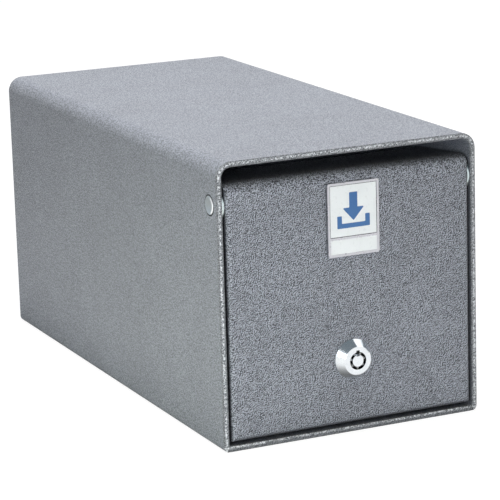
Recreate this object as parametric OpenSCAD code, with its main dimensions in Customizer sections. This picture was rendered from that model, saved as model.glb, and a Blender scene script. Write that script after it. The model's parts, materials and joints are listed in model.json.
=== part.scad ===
// Small steel drop safe with a top-hinged door, a drop slot above it and a tubular cam lock.
// Millimetres, +Z up, the front faces -Y. The origin is the centre of the base.

/* [Housing] */
// Width over the side walls
body_w = 152; // [130:1:220]
// Height from the base to the top
body_h = 155; // [140:1:220]
// Depth from the front rim to the back
body_d = 310; // [240:1:400]
// Thickness of the folded wrap that makes the top and both sides
wall_t = 3; // [2:0.1:4]
// Thickness of the floor plate
floor_t = 3.2; // [2:0.1:5]
// Thickness of the back plate
back_t = 3; // [2:0.1:5]
// Distance that the back plate is set in from the wrap's rear edge
back_inset = 1.5; // [0:0.5:6]
// Outside radius of the two bends along the top
top_bend_r = 8.5; // [6:0.5:12]
// Radius ground on the two bottom edges
base_edge_r = 3; // [1:0.5:3]

/* [Anchor holes] */
// Diameter of the four anchor holes in the floor
anchor_d = 11; // [7:0.5:14]
// Hole spacing across the safe
anchor_span_x = 90; // [60:1:100]
// Hole spacing along the safe
anchor_span_y = 180; // [120:1:190]

/* [Door] */
// Thickness of the door's sheet
door_t = 2; // [1.5:0.1:3]
// Gap between the door and each side wall
door_side_gap = 1.6; // [1.5:0.1:2.5]
// Gap between the door's lower edge and the floor plate
door_floor_gap = 2; // [1.5:0.1:4]
// Distance that the door's face stands proud of the rim
door_proud = 1.2; // [0:0.1:3]
// Height of the drop slot between the door and the top
slot_h = 9.2; // [6:0.1:14]
// Outside radius of the roll along the door's top
roll_r = 8; // [7:0.5:9]
// Outside radius of the door's upright edges
edge_r = 2.8; // [2.2:0.1:3.5]
// Outside radius of the door's bottom bend
bottom_bend_r = 3; // [2.2:0.1:3.5]
// Depth of the two side flanges, from the door's face
side_flange_d = 20; // [18:0.5:24]
// Depth of the bottom flange, from the door's face
bottom_flange_d = 14; // [8:0.5:15]
// Fall of the chute behind the roll, in degrees
chute_fall = 5; // [3:0.5:8]
// Length of the chute, from the middle of the roll to its lip
chute_l = 44; // [30:1:48]
// Length of the chute's turned-down lip
lip_l = 4; // [2:0.5:8]
// Inside radius of the lip's bend
lip_bend_r = 1.5; // [1:0.5:2]
// Radius of the chute's two rear corners
chute_corner_r = 5; // [2:0.5:8]

/* [Hinge] */
// Distance of the hinge axis behind the rim
pivot_back = 9.5; // [9:0.1:10]
// Distance of the hinge axis below the door's top
pivot_drop = 11.5; // [10.5:0.1:13]
// Diameter of the pin's end where it shows in the wall
pin_head_d = 9.9; // [9:0.1:12]
// Diameter of the pin where the door turns on it
pin_d = 8; // [6:0.1:8.4]
// Depth of the pin's clip groove
groove_depth = 0.8; // [0.5:0.1:1]
// Distance from the groove to the pin's inner end
pin_nose = 2; // [1:0.5:4]
// Diameter of the washer between the wall and the door
hinge_washer_d = 18; // [15:0.5:20]
// Thickness of the retaining clip
clip_t = 1; // [0.6:0.1:1.4]
// Diameter of the retaining clip
clip_d = 13.6; // [12:0.2:14.6]
// Radial clearance of what turns on a pin or in a bore
running_gap = 0.05; // [0.02:0.01:0.09]
// Gap between flat faces that pass each other
face_gap = 0.1; // [0.05:0.05:0.3]

/* [Door stops] */
// Thickness of the stops' plate
stop_t = 3; // [2:0.1:4]
// Reach of each stop from the wall
stop_reach = 11; // [8:0.5:16]
// Length of each stop's leg along the wall
stop_leg = 16; // [10:0.5:24]
// Height of each stop
stop_h = 26; // [15:1:40]
// Height of the stops' middle above the base
stop_mid_z = 72; // [50:1:90]
// Gap between a stop and the closed door's flange
stop_gap = 0.3; // [0.2:0.05:0.6]

/* [Lock] */
// Height of the lock's axis above the door's lower edge
lock_up = 35.6; // [32:0.1:50]
// Diameter of the lock head where it meets the door
head_base_d = 21.8; // [20.5:0.1:24]
// Diameter of the lock head's front face
head_face_d = 15.6; // [14:0.1:18]
// Height of the lock head
head_h = 5.6; // [4:0.1:8]
// Diameter of the lock's barrel
barrel_d = 19; // [18.5:0.1:19.4]
// Width across the barrel's two flats
barrel_flats = 16.4; // [16:0.1:18]
// Length of the barrel behind the door's face
barrel_l = 19.6; // [19:0.1:24]
// Pitch of the barrel's thread
thread_pitch = 1; // [0.8:0.1:1.6]
// Depth of the barrel's thread
thread_depth = 0.45; // [0.2:0.05:0.6]
// Clearance of the barrel in the door's hole
barrel_fit = 0.1; // [0.05:0.05:0.3]
// Outside diameter of the round keyway
keyway_d = 9.6; // [9.4:0.1:10]
// Diameter of the keyway's centre post
post_d = 6.4; // [6:0.1:6.8]
// Width of the keyway's notch
key_notch_w = 1.9; // [1.2:0.1:2.4]
// Depth of the keyway's notch beyond the keyway
key_notch_h = 0.9; // [0.5:0.1:1.4]
// Depth of the keyway
keyway_depth = 7.4; // [6:0.1:8]
// Distance of the post's end behind the head's face
post_inset = 0.15; // [0.1:0.05:0.6]
// Diameter of the plug inside the barrel
plug_d = 12.8; // [12.4:0.1:13.4]
// Length of the plug's tumbler section
plug_l = 5.6; // [4:0.1:7]
// Diameter of the plug's spindle and its threaded tail
spindle_d = 5.8; // [5.4:0.1:6]
// Diameter of a tumbler pin
tumbler_d = 1.25; // [0.9:0.05:1.25]
// Distance of the tumblers' ends behind the head's face
tumbler_inset = 0.7; // [0.4:0.1:2]
// Length of a driver pin
driver_l = 5; // [3:0.1:5.5]
// Diameter of the pin that holds the bushing in the barrel
cross_pin_d = 2; // [1.5:0.1:2.5]

/* [Lock hardware] */
// Width across the flats of the nut that clamps the lock
lock_nut_af = 22.2; // [22:0.1:26]
// Thickness of that nut
lock_nut_t = 3.6; // [2.5:0.1:5]
// Outside diameter of the toothed washer below it
tooth_washer_d = 25; // [24:0.5:30]
// Thickness of the toothed washer
tooth_washer_t = 1; // [0.6:0.1:1.5]
// Number of the toothed washer's teeth
washer_teeth = 14; // [8:1:18]
// Thickness of the washer that stops the cam's turn
stop_washer_t = 1.5; // [1:0.1:2]
// Width across the flats of the spindle's threaded tail
tail_flats = 4.6; // [4:0.1:5]
// Thickness of the cam
cam_t = 2.5; // [2:0.1:3.5]
// Width of the cam
cam_w = 16; // [14:0.5:18]
// Reach of the cam from the lock's axis
cam_reach = 33; // [28:0.5:34]
// Thickness of the split washer
split_washer_t = 1; // [0.6:0.1:1.5]
// Width across the flats of the cam's nut
cam_nut_af = 10; // [9:0.5:13]
// Thickness of the cam's nut
cam_nut_t = 4; // [3:0.1:5]

/* [Cam keeper] */
// Width of the keeper
keeper_w = 44; // [30:1:60]
// Thickness of the keeper
keeper_t = 4; // [2:0.1:5]
// Radius of the keeper's two upper corners
keeper_corner_r = 3; // [1:0.5:6]
// Height that the turned cam overlaps the keeper
keeper_catch = 10; // [6:0.5:13]
// Gap between the turned cam and the keeper
keeper_gap = 0.5; // [0.3:0.1:1]

/* [Slot baffle] */
// Thickness of the baffle
baffle_t = 2; // [1.5:0.1:3]
// Depth of the baffle's flange under the top
baffle_flange = 16; // [10:0.5:24]
// Inside radius of the baffle's bend
baffle_bend_r = 3; // [2:0.5:5]
// Angle of the baffle's apron from upright, in degrees
baffle_lean = 28; // [15:1:35]
// Length of the baffle's apron, to the tips of its teeth
baffle_drop = 46; // [35:1:55]
// Gap between the chute's lip and the front of the baffle
throat = 14; // [10:0.5:20]
// Clearance at each end of the baffle
baffle_end_gap = 0.3; // [0.2:0.1:0.8]
// Height of a tooth on the baffle's lower edge
tooth_h = 7; // [4:0.5:9]
// Width of a tooth on the baffle's lower edge
tooth_w = 9; // [6:0.5:14]

/* [Badge] */
// Width of the badge
badge_w = 30.2; // [20:0.1:40]
// Height of the badge
badge_h = 39.6; // [35:0.1:48]
// Thickness of the badge
badge_t = 1.4; // [1:0.1:2.4]
// Width of the badge's raised border
badge_rim = 1.3; // [0.8:0.1:2.5]
// Radius of the badge's corners
badge_corner_r = 0.9; // [0.5:0.1:2]
// Height of the badge's inset panel
panel_h = 27.9; // [20:0.1:32]
// Depth of the panel's recess
recess = 0.6; // [0.4:0.1:0.8]
// Thickness of the inset panel
panel_t = 0.4; // [0.2:0.1:0.8]
// Gap round the inset panel
panel_gap = 0.25; // [0.1:0.05:0.4]
// Thickness of the adhesive pad behind the badge
pad_t = 0.4; // [0.2:0.1:1]
// Distance of the badge's middle below the door's top
badge_down = 25.4; // [24:0.1:40]
// Distance of the badge's middle to the right of the door's middle
badge_right = 0.9; // [-10:0.1:10]

/* [Hidden] */
$fn = 96;

// Overlap of a cutting shape past the face that it cuts
cut = 1;
// Overlap, in degrees, of a bend with the flats that it joins
bend_lap = 0.5;
rim_y = -body_d / 2;
inner_w = body_w - 2 * wall_t;
inner_top = body_h - wall_t;
back_front = body_d - back_inset - back_t;

// Door, measured from the rim plane
door_w = inner_w - 2 * door_side_gap;
door_top = inner_top - slot_h;
door_low = floor_t + door_floor_gap;
face_y = -door_proud;
roll_y = face_y + roll_r;
roll_z = door_top - roll_r;
flange_end = face_y + side_flange_d;
pivot_z = door_top - pivot_drop;
lock_z = door_low + lock_up;
chute_end = roll_y + chute_l * cos(chute_fall) + (roll_r + lip_bend_r + door_t) * sin(chute_fall);
chute_reach = roll_y + (chute_l + lip_bend_r + door_t) * cos(chute_fall) + roll_r * sin(chute_fall);

// Hinge pins, measured from the middle of the safe
washer_in = door_w / 2 + face_gap;
washer_out = inner_w / 2 - face_gap;
flange_in = door_w / 2 - door_t;
clip_out = flange_in - face_gap;
clip_in = clip_out - clip_t;
groove_d = pin_d - 2 * groove_depth;

// Lock stations, measured back from the head's face
shoulder = keyway_depth + face_gap;
shear = shoulder + plug_l;
bushing_front = shear + face_gap;
barrel_end = head_h + barrel_l;
bushing_inset = 1.6;
bushing_end = barrel_end - bushing_inset;
bushing_mid = (bushing_front + bushing_end) / 2;
washer_front = barrel_end + 2 * face_gap;
cam_front = washer_front + stop_washer_t;
split_front = cam_front + cam_t;
cam_nut_front = split_front + split_washer_t;
tail_past_nut = 1;
tail_end = cam_nut_front + cam_nut_t + tail_past_nut;
tumblers = 7;
tumbler_r = post_d / 2 + tumbler_d / 2 + running_gap;

// Turn stop between the shell's lug and the washer's ear
stop_ear_inset = 0.2;
stop_ear_l = 2.3;
stop_ear_r = barrel_d / 2 - stop_ear_inset;
stop_disc_r = stop_ear_r - stop_ear_l;
stop_lug_gap = 0.4;
// Turn between the two stops, in degrees
stop_turn = 90;
// Play left at the stops, in degrees
stop_slack = 2;

// Keeper, measured from the rim plane
head_face_y = face_y - head_h;
cam_y = head_face_y + cam_front;
keeper_back = cam_y - keeper_gap;
keeper_front = keeper_back - keeper_t;
keeper_top = lock_z - cam_reach + keeper_catch;

baffle_y = chute_reach + throat;

// Small details of the hardware
pin_chamfer = 0.5;
pin_end_chamfer = 0.3;
clip_mouth_share = 1.1;
clip_prong_turn = 70;
clip_prong_w = 2;
clip_prong_root = 0.3;
head_lip = 0.5;
washer_notch_r = 1;
driver_room = 1.5;
cross_pin_seat = 1;
cross_pin_inset = 0.3;
post_nick = 0.7;
post_nick_l = 2;
tumbler_tip = 0.15;
cam_hub_lip = 1;
split_w = 0.8;
split_turn = 135;
split_washer_share = 0.85;
nut_flat_share = 0.97;
nut_chamfer_share = 0.22;
stop_bend_share = 1.5;
pad_inset = 1.2;

// Places a shape that is measured from the middle of the rim plane
module at_rim() {
    translate([0, rim_y, 0]) children();
}

// Extrudes a Y-Z outline along X, centred on the middle
module across(length) {
    rotate([90, 0, 90]) linear_extrude(length, center = true) children();
}

// Extrudes an X-Z outline along +Y
module back_from(y, length) {
    translate([0, y + length, 0]) rotate([90, 0, 0]) linear_extrude(length) children();
}

// Turns +Z to +Y on the lock's axis, with local +Y pointing down
module at_lock() {
    translate([0, rim_y + head_face_y, lock_z]) rotate([-90, 0, 0]) children();
}

// Slice of a ring between two angles of less than 180 degrees
module wedge(r, from, to) {
    far = 2 * r / cos((to - from) / 4);
    middle = (from + to) / 2;
    polygon([
        [0, 0],
        far * [cos(from), sin(from)],
        far * [cos(middle), sin(middle)],
        far * [cos(to), sin(to)]
    ]);
}

module ring(outer_r, inner_r) {
    difference() {
        circle(outer_r);
        circle(inner_r);
    }
}

// Circle with two flats, across local Y
module flatted(d, flats) {
    intersection() {
        circle(d = d);
        square([d + cut, flats], center = true);
    }
}

module rounded(w, h, r) {
    square([w - 2 * r, h], center = true);
    square([w, h - 2 * r], center = true);
    for (x = [-1, 1], y = [-1, 1])
        translate([x * (w / 2 - r), y * (h / 2 - r)]) circle(r);
}

// Outline that stands on z = 0, with its own radii at the top and the bottom
module standing(w, h, top_r, low_r) {
    translate([-w / 2, low_r]) square([w, h - top_r - low_r]);
    translate([-w / 2 + top_r, h / 2]) square([w - 2 * top_r, h / 2]);
    translate([-w / 2 + low_r, 0]) square([w - 2 * low_r, h / 2]);
    for (side = [-1, 1]) {
        translate([side * (w / 2 - top_r), h - top_r]) circle(top_r);
        if (low_r > 0)
            translate([side * (w / 2 - low_r), low_r]) circle(low_r);
    }
}

// Inside of the wrap, with its bends
module inner_arch(gap = 0) {
    standing(inner_w - 2 * gap, inner_top - gap, top_bend_r - wall_t, 0);
}

module body_wrap() {
    color([0.5, 0.52, 0.55])
    at_rim() difference() {
        back_from(0, body_d) difference() {
            standing(body_w, body_h, top_bend_r, base_edge_r);
            inner_arch();
            translate([-inner_w / 2, -cut]) square([inner_w, body_h / 2]);
        }
        translate([0, pivot_back, pivot_z])
            rotate([0, 90, 0]) cylinder(d = pin_head_d + 2 * running_gap, h = body_w + cut, center = true);
    }
}

module floor_plate() {
    color([0.47, 0.49, 0.52])
    difference() {
        translate([-inner_w / 2, rim_y, 0]) cube([inner_w, back_front, floor_t]);
        for (x = [-1, 1], y = [-1, 1])
            translate([x * anchor_span_x / 2, y * anchor_span_y / 2, -cut])
                cylinder(d = anchor_d, h = floor_t + 2 * cut);
    }
}

module back_plate() {
    color([0.49, 0.51, 0.54])
    at_rim() back_from(back_front, back_t) inner_arch();
}

// Flange under the top, a bend, and an apron that leans back and ends in teeth
module slot_baffle() {
    bend_y = baffle_y + baffle_bend_r + baffle_t;
    bend_z = inner_top - baffle_t - baffle_bend_r;
    length = inner_w - 2 * baffle_end_gap;
    count = floor(length / tooth_w);
    pitch = length / count;
    outer = baffle_bend_r + baffle_t;
    color([0.45, 0.47, 0.5])
    at_rim() intersection() {
        union() {
            across(length) translate([bend_y, bend_z]) {
                translate([0, baffle_bend_r]) square([baffle_flange, baffle_t]);
                intersection() {
                    ring(outer, baffle_bend_r);
                    wedge(outer, 90 - bend_lap, 180 + baffle_lean + bend_lap);
                }
            }
            translate([0, bend_y, bend_z]) rotate([baffle_lean, 0, 0]) translate([0, -outer, 0])
                rotate([-90, 0, 0]) linear_extrude(baffle_t) polygon(concat(
                    [[length / 2, 0], [-length / 2, 0]],
                    [for (i = [0 : count - 1]) each [
                        [-length / 2 + i * pitch, baffle_drop - tooth_h],
                        [-length / 2 + (i + 0.5) * pitch, baffle_drop]
                    ]],
                    [[length / 2, baffle_drop - tooth_h]]
                ));
        }
        back_from(0, back_front) inner_arch(baffle_end_gap / 2);
    }
}

// Flat bar on edge on the floor, which the turned cam catches behind
module cam_keeper() {
    height = keeper_top - floor_t;
    color([0.45, 0.47, 0.5])
    at_rim() translate([0, 0, floor_t]) back_from(keeper_front, keeper_t)
        standing(keeper_w, height, keeper_corner_r, 0);
}

// Angle on the wall behind the door's side flange
module door_stop(side) {
    front = flange_end + stop_gap;
    bend = stop_bend_share * stop_t;
    color([0.45, 0.47, 0.5])
    at_rim() translate([0, 0, stop_mid_z - stop_h / 2]) scale_side(side) linear_extrude(stop_h)
        translate([inner_w / 2, front]) {
            translate([-stop_reach, 0]) square([stop_reach - bend, stop_t]);
            translate([-stop_t, bend]) square([stop_t, stop_leg - bend]);
            translate([-bend, bend]) intersection() {
                ring(bend, bend - stop_t);
                translate([0, -bend]) square(bend);
            }
        }
}

// Right side for 1, and its mirror image for -1
module scale_side(side) {
    if (side > 0)
        children();
    else
        mirror([1, 0, 0]) children();
}

// Places a shape drawn along +X from the middle, on the hinge axis
module at_hinge(side) {
    scale_side(side) translate([0, rim_y + pivot_back, pivot_z]) rotate([0, 90, 0]) children();
}

module pivot_pin(side) {
    nose = clip_in - face_gap - pin_nose;
    color([0.78, 0.79, 0.8])
    at_hinge(side) rotate_extrude() polygon([
        [0, nose],
        [pin_d / 2 - pin_chamfer, nose],
        [pin_d / 2, nose + pin_chamfer],
        [pin_d / 2, clip_in - face_gap],
        [groove_d / 2, clip_in - face_gap],
        [groove_d / 2, clip_out + face_gap / 2],
        [pin_d / 2, clip_out + face_gap / 2],
        [pin_d / 2, inner_w / 2],
        [pin_head_d / 2, inner_w / 2],
        [pin_head_d / 2, body_w / 2 - pin_end_chamfer],
        [pin_head_d / 2 - pin_end_chamfer, body_w / 2],
        [0, body_w / 2]
    ]);
}

module pivot_washer(side) {
    color([0.8, 0.81, 0.82])
    at_hinge(side) translate([0, 0, washer_in]) linear_extrude(washer_out - washer_in)
        ring(hinge_washer_d / 2, pin_d / 2 + 2 * running_gap);
}

// Retaining ring with three inner prongs and an open mouth
module pin_clip(side) {
    inner_r = (clip_d + groove_d) / 4;
    mouth = clip_mouth_share * groove_d;
    color([0.3, 0.31, 0.33])
    at_hinge(side) translate([0, 0, clip_in]) linear_extrude(clip_t) {
        difference() {
            circle(d = clip_d);
            circle(inner_r);
            translate([0, -mouth / 2]) square([clip_d, mouth]);
        }
        intersection() {
            difference() {
                circle(inner_r + clip_prong_root);
                circle(groove_d / 2 + running_gap);
            }
            for (turn = [180, clip_prong_turn, -clip_prong_turn])
                rotate(turn) translate([0, -clip_prong_w / 2]) square([clip_d / 2, clip_prong_w]);
        }
    }
}

// Side view of the door's pan, set in by a distance on every closed side
module pan_side(inset, back) {
    r = roll_r - inset;
    low_r = bottom_bend_r - inset;
    front = face_y + inset;
    low = door_low + inset;
    reach = back - roll_y;
    union() {
        polygon([
            [front + low_r, low],
            [back, low],
            [back, roll_z + r / cos(chute_fall) - reach * tan(chute_fall)],
            [roll_y + r * sin(chute_fall), roll_z + r * cos(chute_fall)],
            [roll_y, roll_z],
            [front, roll_z],
            [front, low + low_r]
        ]);
        translate([roll_y, roll_z]) circle(r);
        translate([front + low_r, low + low_r]) circle(low_r);
    }
}

// Plan view of the door's pan, set in by a distance on its front and sides
module pan_plan(inset, back) {
    r = edge_r - inset;
    w = door_w - 2 * inset;
    front = face_y + inset;
    translate([-w / 2, front + r]) square([w, back - front - r]);
    translate([-w / 2 + r, front]) square([w - 2 * r, r]);
    for (side = [-1, 1])
        translate([side * (w / 2 - r), front + r]) circle(r);
}

module pan_solid(inset, back) {
    intersection() {
        across(door_w - 2 * inset) pan_side(inset, back);
        linear_extrude(body_h) pan_plan(inset, back);
    }
}

// Sheet behind the roll that falls to a turned-down lip
module chute() {
    outer = lip_bend_r + door_t;
    intersection() {
        across(door_w) translate([roll_y, roll_z]) rotate(-chute_fall) {
            translate([0, roll_r - door_t]) square([chute_l, door_t]);
            translate([chute_l, roll_r - outer]) intersection() {
                ring(outer, lip_bend_r);
                square(outer);
            }
            translate([chute_l + lip_bend_r, roll_r - outer - lip_l]) square([door_t, lip_l]);
        }
        linear_extrude(body_h) {
            translate([0, chute_end / 2]) rounded(door_w, chute_end * 2, chute_corner_r);
        }
    }
}

module door_panel() {
    color([0.52, 0.54, 0.56])
    at_rim() difference() {
        union() {
            difference() {
                pan_solid(0, flange_end);
                pan_solid(door_t, flange_end + cut);
            }
            chute();
        }
        translate([-flange_in, face_y + bottom_flange_d, door_low - cut])
            cube([2 * flange_in, side_flange_d, door_t + 2 * cut]);
        back_from(face_y - cut, door_t + 2 * cut)
            translate([0, lock_z]) flatted(barrel_d + 2 * barrel_fit, barrel_flats + 2 * barrel_fit);
        translate([0, pivot_back, pivot_z])
            rotate([0, 90, 0]) cylinder(d = pin_d + 2 * running_gap, h = door_w + cut, center = true);
    }
}

// Flatted rod with its thread as a row of grooves, plain as far as the door's sheet reaches
module threaded_barrel() {
    r = barrel_d / 2;
    count = floor((barrel_l - door_t) / thread_pitch);
    intersection() {
        rotate_extrude() polygon(concat(
            [[0, 0], [r, 0], [r, door_t]],
            [for (i = [0 : count - 1]) each [
                [r - thread_depth, door_t + (i + 0.5) * thread_pitch],
                [r, door_t + (i + 1) * thread_pitch]
            ]],
            [[r - thread_depth / 2, barrel_l], [0, barrel_l]]
        ));
        linear_extrude(barrel_l) square([barrel_d + cut, barrel_flats], center = true);
    }
}

// Cone head and flatted barrel in one, with a keyway, a wide bore and a rear stop lug
module lock_shell() {
    color([0.86, 0.87, 0.88])
    at_lock() {
        difference() {
            union() {
                rotate_extrude() polygon([
                    [0, 0],
                    [head_face_d / 2 - head_lip, 0],
                    [head_face_d / 2, head_lip / 2],
                    [head_base_d / 2, head_h - head_lip],
                    [head_base_d / 2, head_h],
                    [0, head_h]
                ]);
                translate([0, 0, head_h]) threaded_barrel();
            }
            translate([0, 0, -cut]) cylinder(d = keyway_d, h = barrel_end + 2 * cut);
            translate([0, 0, keyway_depth]) cylinder(d = plug_d + 2 * running_gap, h = barrel_end);
            translate([-key_notch_w / 2, -keyway_d / 2 - key_notch_h, -cut])
                cube([key_notch_w, key_notch_h + keyway_d / 4, keyway_depth + cut]);
            translate([0, -barrel_d / 2, bushing_mid])
                rotate([90, 0, 0]) cylinder(d = cross_pin_d, h = barrel_d, center = true);
        }
        translate([0, 0, barrel_end]) linear_extrude(stop_washer_t - face_gap) intersection() {
            ring(stop_ear_r - thread_depth, stop_disc_r + stop_lug_gap);
            flatted(barrel_d, barrel_flats);
            wedge(stop_ear_r, -180 - stop_turn / 2 + stop_slack / 2, -stop_turn / 2 - stop_slack / 2);
        }
    }
}

// Internal-tooth washer below the lock's nut
module lock_washer() {
    hole_r = barrel_d / 2 + barrel_fit;
    color([0.72, 0.73, 0.74])
    at_lock() translate([0, 0, head_h + door_t]) linear_extrude(tooth_washer_t) difference() {
        circle(d = tooth_washer_d);
        circle(hole_r);
        for (i = [0 : washer_teeth - 1])
            rotate(i * 360 / washer_teeth) translate([hole_r, 0]) circle(washer_notch_r);
    }
}

// Hexagon nut with both faces chamfered
module hex_nut(af, thick, hole_d) {
    corner = af / cos(30) / 2;
    flat_r = af / 2 * nut_flat_share;
    chamfer = thick * nut_chamfer_share;
    difference() {
        intersection() {
            cylinder(r = corner, h = thick, $fn = 6);
            rotate_extrude() polygon([
                [0, 0],
                [flat_r, 0],
                [corner, chamfer],
                [corner, thick - chamfer],
                [flat_r, thick],
                [0, thick]
            ]);
        }
        translate([0, 0, -cut]) cylinder(d = hole_d, h = thick + 2 * cut);
    }
}

module lock_nut() {
    color([0.75, 0.76, 0.77])
    at_lock() translate([0, 0, head_h + door_t + tooth_washer_t])
        hex_nut(lock_nut_af, lock_nut_t, barrel_d + 2 * running_gap);
}

// Repeats a pin on the circle of tumblers
module tumbler_circle() {
    for (i = [0 : tumblers - 1])
        rotate(-90 + (i + 0.5) * 360 / tumblers) translate([tumbler_r, 0, 0]) children();
}

// Fixed bushing that holds the driver pins behind the plug
module lock_bushing() {
    color([0.78, 0.62, 0.3])
    at_lock() difference() {
        translate([0, 0, bushing_front]) cylinder(d = plug_d, h = bushing_end - bushing_front);
        translate([0, 0, bushing_front - cut])
            cylinder(d = spindle_d + 2 * running_gap, h = bushing_end - bushing_front + 2 * cut);
        tumbler_circle() translate([0, 0, bushing_front - cut])
            cylinder(d = tumbler_d + 2 * running_gap, h = driver_l + cut + driver_room);
        translate([0, -plug_d / 2, bushing_mid])
            rotate([90, 0, 0]) cylinder(d = cross_pin_d, h = 2 * cross_pin_seat, center = true);
    }
}

module driver_pins() {
    color([0.8, 0.68, 0.4])
    at_lock() tumbler_circle() translate([0, 0, bushing_front]) cylinder(d = tumbler_d, h = driver_l);
}

// Cross pin from the barrel's flat into the bushing
module bushing_pin() {
    pin_top = barrel_flats / 2 - cross_pin_inset;
    pin_low = plug_d / 2 - cross_pin_seat;
    color([0.7, 0.71, 0.72])
    at_lock() translate([0, -pin_low, bushing_mid])
        rotate([90, 0, 0]) cylinder(d = cross_pin_d - 2 * running_gap, h = pin_top - pin_low);
}

// Centre post, tumbler section, spindle and flatted tail in one turning piece
module lock_plug() {
    color([0.84, 0.85, 0.86])
    at_lock() difference() {
        union() {
            translate([0, 0, post_inset]) cylinder(d = post_d, h = shoulder - post_inset + cut);
            translate([0, 0, shoulder]) cylinder(d = plug_d, h = plug_l);
            translate([0, 0, shear - cut]) cylinder(d = spindle_d, h = bushing_end - shear + 2 * cut);
            translate([0, 0, bushing_end + cut - face_gap]) linear_extrude(tail_end - bushing_end - cut)
                flatted(spindle_d, tail_flats);
        }
        tumbler_circle() translate([0, 0, shoulder - cut])
            cylinder(d = tumbler_d + running_gap, h = plug_l + 2 * cut);
        translate([-key_notch_w / 2, -post_d / 2 - cut, post_inset - cut])
            cube([key_notch_w, cut + post_nick, post_nick_l + cut]);
    }
}

module tumbler_pins() {
    length = shear - tumbler_inset;
    color([0.82, 0.72, 0.45])
    at_lock() tumbler_circle() translate([0, 0, tumbler_inset]) rotate_extrude() polygon([
        [0, 0],
        [tumbler_d / 2 - tumbler_tip, 0],
        [tumbler_d / 2, tumbler_tip],
        [tumbler_d / 2, length],
        [0, length]
    ]);
}

// Washer on the tail's flats, with an ear that meets the shell's lug at each end of the turn
module stop_washer() {
    color([0.7, 0.71, 0.72])
    at_lock() translate([0, 0, washer_front]) linear_extrude(stop_washer_t) difference() {
        union() {
            circle(stop_disc_r);
            intersection() {
                circle(stop_ear_r);
                wedge(stop_ear_r, -stop_turn / 2 + stop_slack / 2, stop_turn / 2 - stop_slack / 2);
            }
        }
        tail_hole();
    }
}

module tail_hole() {
    flatted(spindle_d + 2 * running_gap, tail_flats + 2 * running_gap);
}

// Flat bar with a round hub and a round tip
module lock_cam() {
    hub_r = cam_w / 2 + cam_hub_lip;
    tip_r = cam_w / 4;
    color([0.74, 0.75, 0.76])
    at_lock() translate([0, 0, cam_front]) linear_extrude(cam_t) difference() {
        union() {
            circle(hub_r);
            translate([0, -cam_w / 2]) square([cam_reach - tip_r, cam_w]);
            translate([cam_reach - tip_r, 0]) square([2 * tip_r, cam_w - 2 * tip_r], center = true);
            for (side = [-1, 1])
                translate([cam_reach - tip_r, side * (cam_w / 2 - tip_r)]) circle(tip_r);
        }
        tail_hole();
    }
}

module cam_split_washer() {
    color([0.68, 0.69, 0.7])
    at_lock() translate([0, 0, split_front]) linear_extrude(split_washer_t) difference() {
        ring(split_washer_share * spindle_d, spindle_d / 2 + 2 * running_gap);
        rotate(split_turn) translate([0, -split_w / 2]) square([spindle_d, split_w]);
    }
}

module cam_nut() {
    color([0.76, 0.77, 0.78])
    at_lock() translate([0, 0, cam_nut_front]) hex_nut(cam_nut_af, cam_nut_t, spindle_d + 2 * running_gap);
}

// Places an X-Z badge outline, with distances measured forwards from the door's face
module at_badge(forward, thick) {
    translate([badge_right, 0, door_top - badge_down])
        back_from(rim_y + face_y - forward - thick, thick) children();
}

panel_mid = badge_h / 2 - badge_rim - panel_h / 2;
panel_w = badge_w - 2 * badge_rim;

// Bordered plate with a recess for the panel and a plain strip below it
module badge_frame() {
    strip_h = badge_h - 3 * badge_rim - panel_h;
    color([0.83, 0.84, 0.85])
    difference() {
        at_badge(pad_t, badge_t) rounded(badge_w, badge_h, badge_corner_r);
        at_badge(pad_t + badge_t - recess, recess + cut)
            translate([0, panel_mid]) square([panel_w, panel_h], center = true);
        at_badge(pad_t + badge_t - recess / 3, recess + cut)
            translate([0, -badge_h / 2 + badge_rim + strip_h / 2]) square([panel_w, strip_h], center = true);
    }
}

module badge_panel() {
    color([0.96, 0.97, 0.97])
    at_badge(pad_t + badge_t - recess, panel_t) translate([0, panel_mid])
        square([panel_w - 2 * panel_gap, panel_h - 2 * panel_gap], center = true);
}

module badge_pad() {
    flat_top = badge_down - roll_r - pad_inset;
    color([0.15, 0.15, 0.16])
    at_badge(0, pad_t) translate([-badge_w / 2 + pad_inset, -badge_h / 2 + pad_inset])
        square([badge_w - 2 * pad_inset, badge_h / 2 - pad_inset + min(flat_top, badge_h / 2 - pad_inset)]);
}

body_wrap();
floor_plate();
back_plate();
slot_baffle();
cam_keeper();
door_stop(-1);  // door_stop_left
door_stop(1);  // door_stop_right
pivot_pin(-1);  // pivot_pin_left
pivot_pin(1);  // pivot_pin_right
pivot_washer(-1);  // pivot_washer_left
pivot_washer(1);  // pivot_washer_right
pin_clip(-1);  // pin_clip_left
pin_clip(1);  // pin_clip_right
door_panel();
lock_shell();
lock_washer();
lock_nut();
lock_bushing();
driver_pins();
bushing_pin();
lock_plug();
tumbler_pins();
stop_washer();
lock_cam();
cam_split_washer();
cam_nut();
badge_frame();
badge_panel();
badge_pad();
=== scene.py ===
"""Looks of the drop safe: materials, softened edges, pin ends, badge print, studio and camera."""
import json
import math

import bmesh
import bpy
from mathutils import Matrix, Vector


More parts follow.
